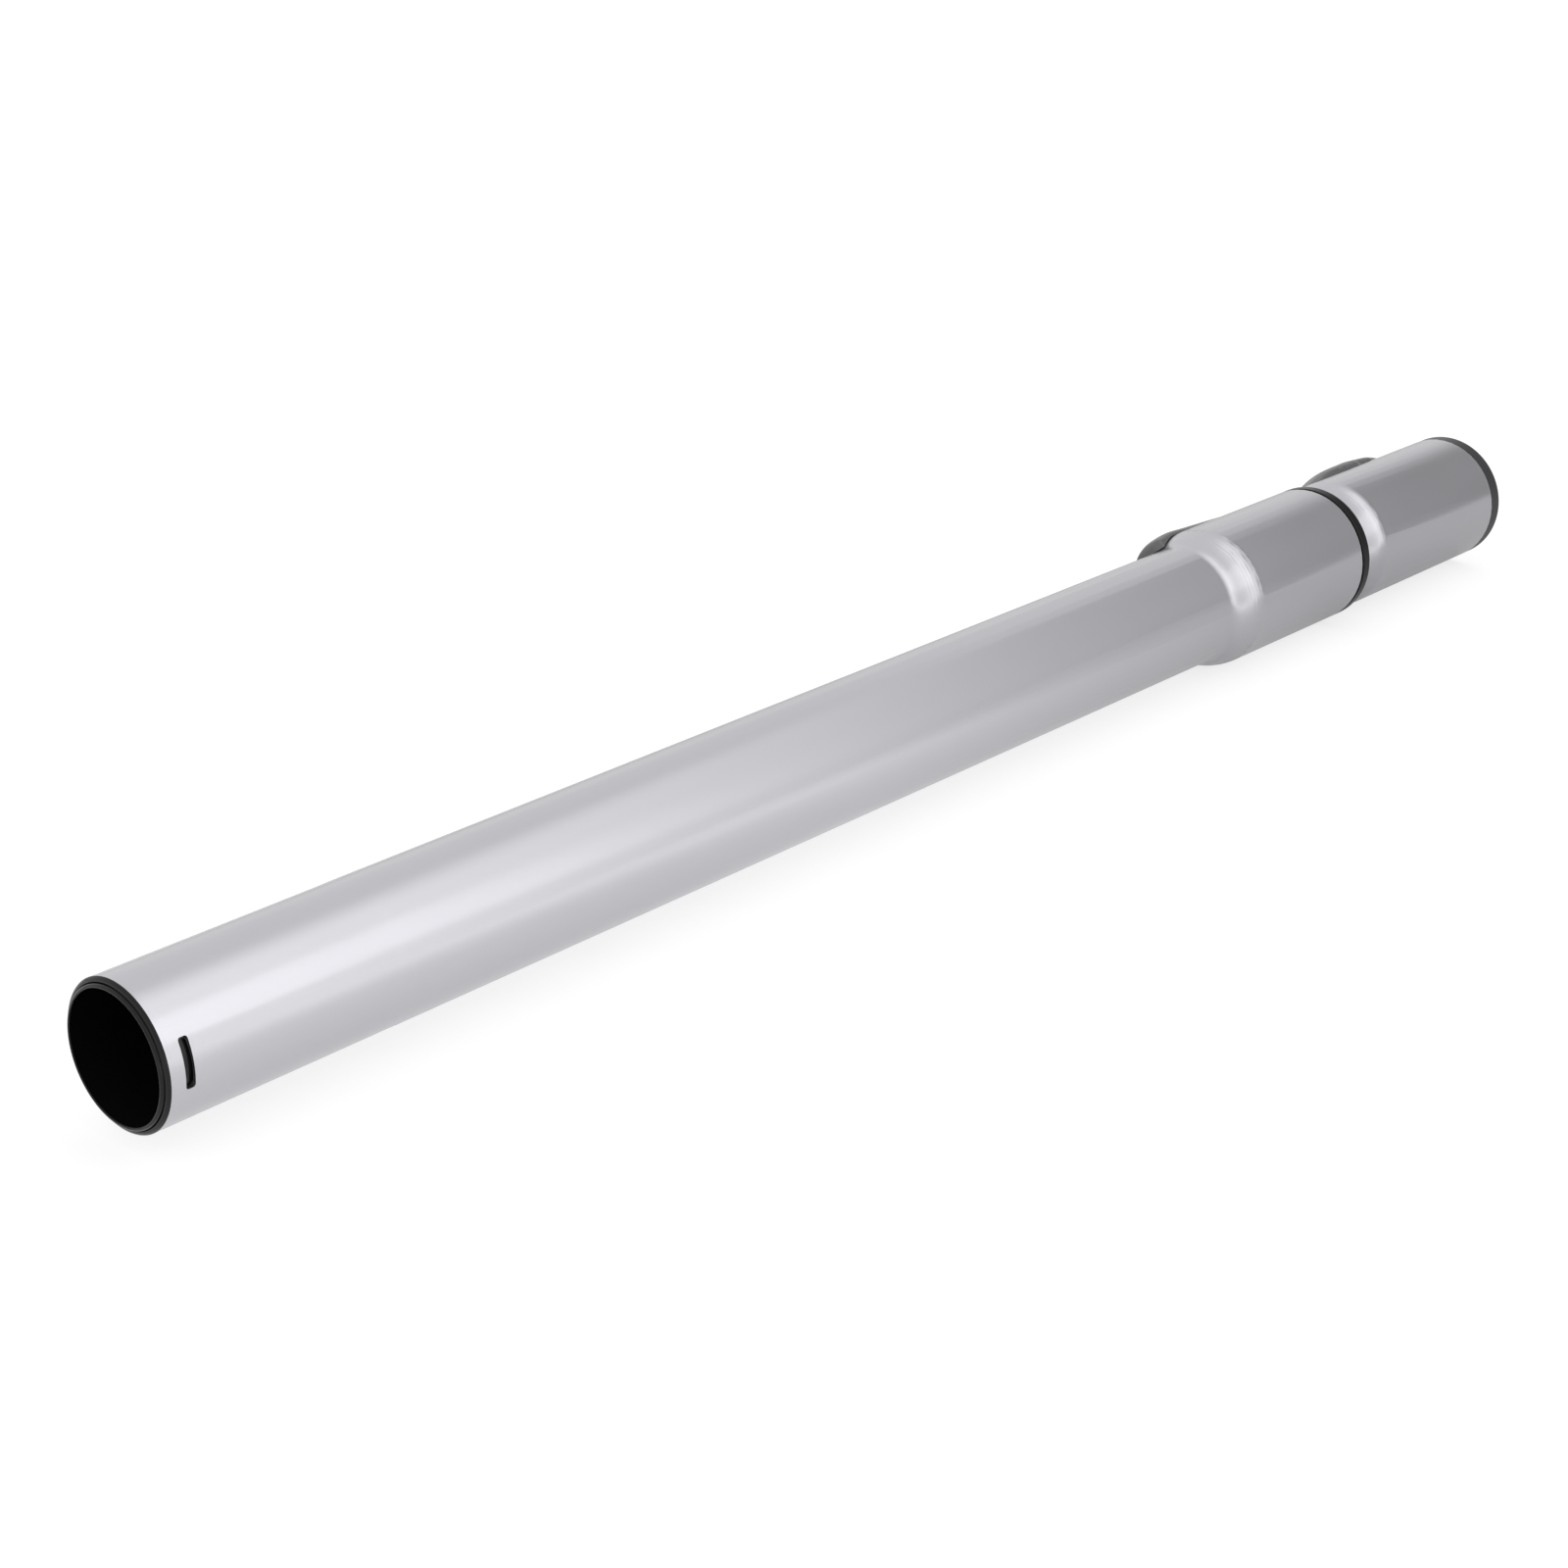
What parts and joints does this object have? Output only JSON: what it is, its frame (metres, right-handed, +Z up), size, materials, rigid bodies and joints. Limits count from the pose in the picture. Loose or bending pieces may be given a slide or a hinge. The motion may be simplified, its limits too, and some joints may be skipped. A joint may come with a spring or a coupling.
{
  "type": "telescopic vacuum wand",
  "caption": "Two-piece telescopic metal suction tube with a sliding length lock, a sprung release button on the handle socket and a lined lower end for floor heads.",
  "frame": {"origin": "on the wand's axis, in the plane of the lower mouth's front edge", "axes": "+X along the wand from the lower mouth to the handle socket, +Z up as it lies, +Y away from the viewer"},
  "size_m": [0.5289, 0.041, 0.041],
  "materials": {
    "silver_paint": "satin metallic",
    "liner_plastic": "semi-gloss",
    "guide_plastic": "satin",
    "ring_plastic": "satin",
    "grip_plastic": "matte, fine grain",
    "socket_plastic": "satin",
    "glide_plastic": "natural, smooth",
    "seal_rubber": "matte",
    "roller_steel": "ground",
    "spring_steel": "drawn wire"
  },
  "bodies": {
    "lower_tube": {"lower_tube": "silver_paint", "mouth_liner": "liner_plastic", "guide_sleeve": "guide_plastic", "collar_ring": "ring_plastic", "wiper_seal": "seal_rubber", "slider_spring_left": "spring_steel", "slider_spring_right": "spring_steel"},
    "lock_slider": {"slider_grip": "grip_plastic", "slider_carriage": "guide_plastic"},
    "lock_roller": {"lock_roller": "roller_steel"},
    "upper_tube": {"upper_tube": "silver_paint", "glide_shell_left": "glide_plastic", "glide_shell_right": "glide_plastic", "piston_seal": "seal_rubber", "socket_liner": "socket_plastic", "socket_seal": "seal_rubber", "button_housing": "grip_plastic", "button_spring": "spring_steel"},
    "release_button": {"release_button": "grip_plastic"}
  },
  "joints": [
    {"name": "telescope", "type": "slide", "parent": "lower_tube", "child": "upper_tube", "axis": [1, 0, 0], "range_m": [0, 0.32]},
    {"name": "lock_slide", "type": "slide", "parent": "lower_tube", "child": "lock_slider", "axis": [-1, 0, 0], "range_m": [0, 0.004], "stiffness_N_per_m": 300, "springref_m": 0.0048, "deforming": ["slider_spring_left", "slider_spring_right"]},
    {"name": "roller_drop", "type": "slide", "parent": "lower_tube", "child": "lock_roller", "axis": [0, -0.766, -0.6428], "range_m": [0, 0.00165]},
    {"name": "release_press", "type": "slide", "parent": "upper_tube", "child": "release_button", "axis": [0, -0.766, -0.6428], "range_m": [0, 0.0012], "stiffness_N_per_m": 500, "springref_m": -0.0006, "deforming": ["button_spring"]}
  ],
  "couplings": [
    {"joint": "roller_drop", "follows": "lock_slide", "ratio": 0.4125}
  ]
}
